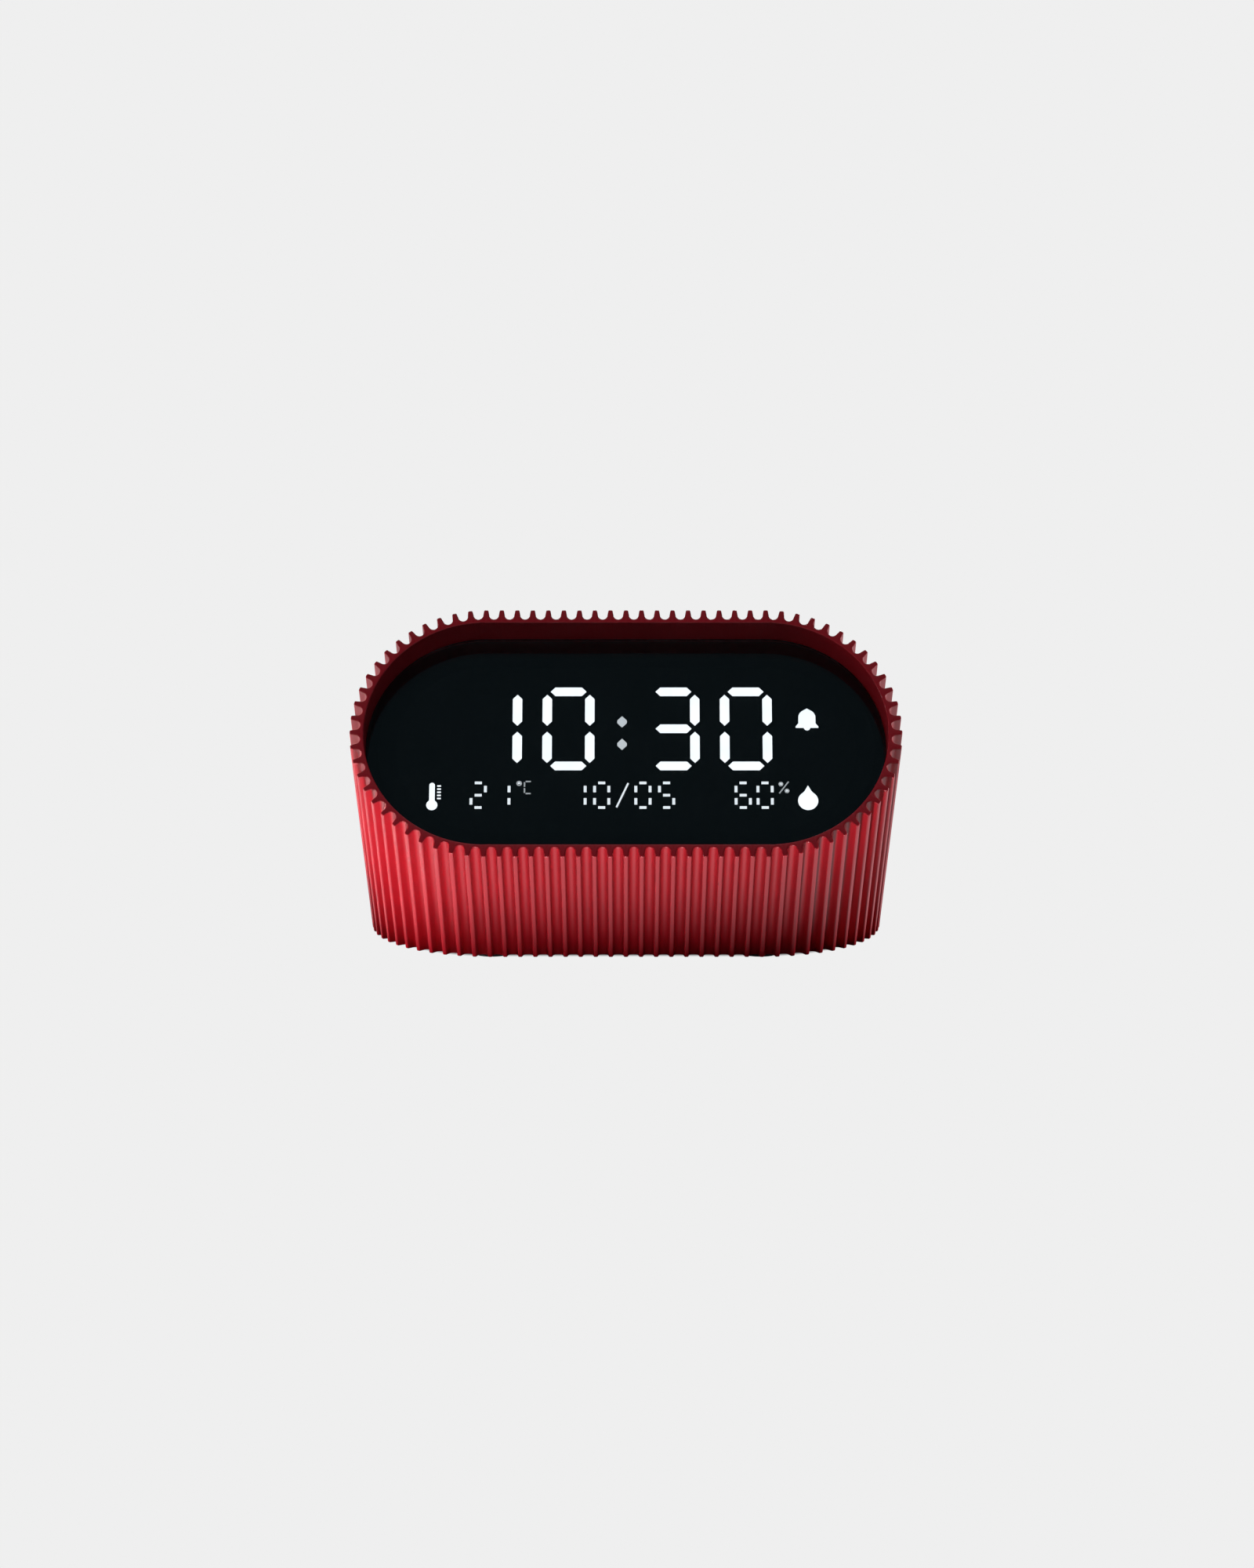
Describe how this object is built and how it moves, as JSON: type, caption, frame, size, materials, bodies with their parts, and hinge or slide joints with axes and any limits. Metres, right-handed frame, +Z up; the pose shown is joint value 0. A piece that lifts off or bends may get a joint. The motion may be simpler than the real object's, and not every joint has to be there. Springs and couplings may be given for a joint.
{
  "type": "alarm clock",
  "caption": "Digital alarm clock: a ribbed tube laid back at an angle, with a sunken lit display in its mouth and sprung buttons, alarm switch and power inlet in its rear panel.",
  "frame": {"origin": "centre of the footprint of the whole clock, on the table", "axes": "+X to the right as seen from the display's side, +Y from the display to the rear, +Z up"},
  "size_m": [0.118, 0.112, 0.0793],
  "materials": {
    "shell_red": "satin lacquered red",
    "lens_smoke": "polished smoked acrylic",
    "foam_black": "double-sided foam tape",
    "reflector_black": "moulded black",
    "display_white": "lit diffuser",
    "display_grey": "dim lit diffuser",
    "display_off": "unlit diffuser behind smoke",
    "board_green": "solder mask",
    "chip_yellow": "phosphor",
    "chip_black": "moulded epoxy",
    "screw_steel": "zinc plated",
    "socket_ivory": "nylon",
    "ribbon_pale": "flat flexible cable",
    "panel_charcoal": "fine spark texture",
    "button_charcoal": "soft touch",
    "knob_red": "satin",
    "foot_rubber": "matte",
    "ballast_steel": "raw plate",
    "capacitor_blue": "sleeved can",
    "insulator_black": "moulded black",
    "contact_gold": "plated",
    "lead_red": "insulated wire"
  },
  "bodies": {
    "case": {"ribbed_housing": "shell_red", "display_lens": "lens_smoke", "lens_tape": "foam_black", "reflector_block": "reflector_black", "time_segments": "display_white", "idle_segments": "display_off", "colon_dots": "display_grey", "temperature_digits": "display_white", "date_digits": "display_white", "humidity_digits": "display_white", "unit_marks": "display_grey", "bell_icon": "display_white", "thermometer_icon": "display_white", "drop_icon": "display_white", "led_board": "board_green", "led_chips": "chip_yellow", "led_driver": "chip_black", "display_screws": "screw_steel", "ribbon_sockets": "socket_ivory", "ribbon_cable": "ribbon_pale", "rear_panel": "panel_charcoal", "panel_screws": "screw_steel", "base_plate": "panel_charcoal", "base_screws": "screw_steel", "rubber_feet": "foot_rubber", "ballast_plate": "ballast_steel", "ballast_screws": "screw_steel", "main_board": "board_green", "board_screws": "screw_steel", "microcontroller": "chip_black", "clock_crystal": "screw_steel", "capacitors": "capacitor_blue", "port_shell": "screw_steel", "port_tongue": "insulator_black", "alarm_switch_body": "screw_steel", "control_board": "board_green", "control_screws": "screw_steel", "header_pins": "contact_gold", "sensor_chip": "chip_black", "tact_switches": "insulator_black", "sounder": "insulator_black", "sounder_leads": "lead_red", "cell_holder": "insulator_black", "coin_cell": "screw_steel", "cell_contacts": "contact_gold"},
    "snooze_bar": {"snooze_bar": "button_charcoal", "snooze_plungers": "socket_ivory"},
    "set_button": {"set_button": "button_charcoal", "set_plunger": "socket_ivory"},
    "alarm_button": {"alarm_button": "button_charcoal", "alarm_plunger": "socket_ivory"},
    "minus_button": {"minus_button": "button_charcoal", "minus_plunger": "socket_ivory"},
    "plus_button": {"plus_button": "button_charcoal", "plus_plunger": "socket_ivory"},
    "alarm_switch": {"alarm_switch_knob": "knob_red"},
    "battery_door": {"battery_door": "panel_charcoal"}
  },
  "joints": [
    {"name": "snooze_press", "type": "slide", "parent": "case", "child": "snooze_bar", "axis": [0, -1, 0], "range_m": [0, 0.0008], "stiffness_N_per_m": 1200},
    {"name": "set_press", "type": "slide", "parent": "case", "child": "set_button", "axis": [0, -1, 0], "range_m": [0, 0.0008], "stiffness_N_per_m": 700},
    {"name": "alarm_press", "type": "slide", "parent": "case", "child": "alarm_button", "axis": [0, -1, 0], "range_m": [0, 0.0008], "stiffness_N_per_m": 700},
    {"name": "minus_press", "type": "slide", "parent": "case", "child": "minus_button", "axis": [0, -1, 0], "range_m": [0, 0.0008], "stiffness_N_per_m": 700},
    {"name": "plus_press", "type": "slide", "parent": "case", "child": "plus_button", "axis": [0, -1, 0], "range_m": [0, 0.0008], "stiffness_N_per_m": 700},
    {"name": "alarm_switch_slide", "type": "slide", "parent": "case", "child": "alarm_switch", "axis": [1, 0, 0], "range_m": [0, 0.003]},
    {"name": "battery_door_turn", "type": "hinge", "parent": "case", "child": "battery_door", "pos_m": [0.036, 0.025, 0.0012], "axis": [0, 0, -1], "range_deg": [0, 45]}
  ]
}
